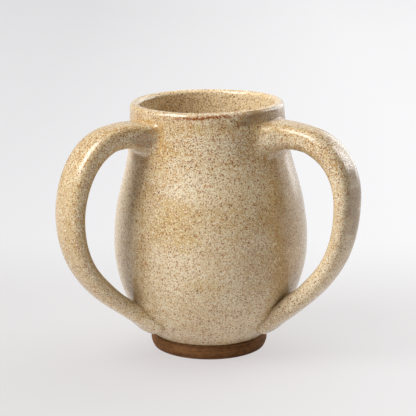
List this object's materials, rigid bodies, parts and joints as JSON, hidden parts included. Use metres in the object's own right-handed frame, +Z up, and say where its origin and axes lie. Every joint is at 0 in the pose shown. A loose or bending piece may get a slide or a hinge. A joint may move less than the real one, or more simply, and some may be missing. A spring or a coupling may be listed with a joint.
{
  "type": "two-handled washing cup",
  "caption": "Free-standing two-handled stoneware cup for ritual hand washing, with a round belly, a wide mouth and strap handles that lean forward.",
  "frame": {"origin": "on the table, in the middle of the cup's footprint with its handles", "axes": "+Z up, -Y towards the side that the handles lean to, +X towards the right handle for someone who faces that side"},
  "size_m": [0.1578, 0.1058, 0.135],
  "materials": {
    "speckled_glaze": "satin-gloss oatmeal glaze with iron speckles",
    "bare_clay": "unglazed brown stoneware with fine turning lines"
  },
  "bodies": {
    "root": {"vessel": "speckled_glaze", "foot_ring": "bare_clay", "left_handle": "speckled_glaze", "left_upper_luting_coil": "speckled_glaze", "left_lower_luting_pad": "speckled_glaze", "right_handle": "speckled_glaze", "right_upper_luting_coil": "speckled_glaze", "right_lower_luting_pad": "speckled_glaze"}
  },
  "joints": []
}
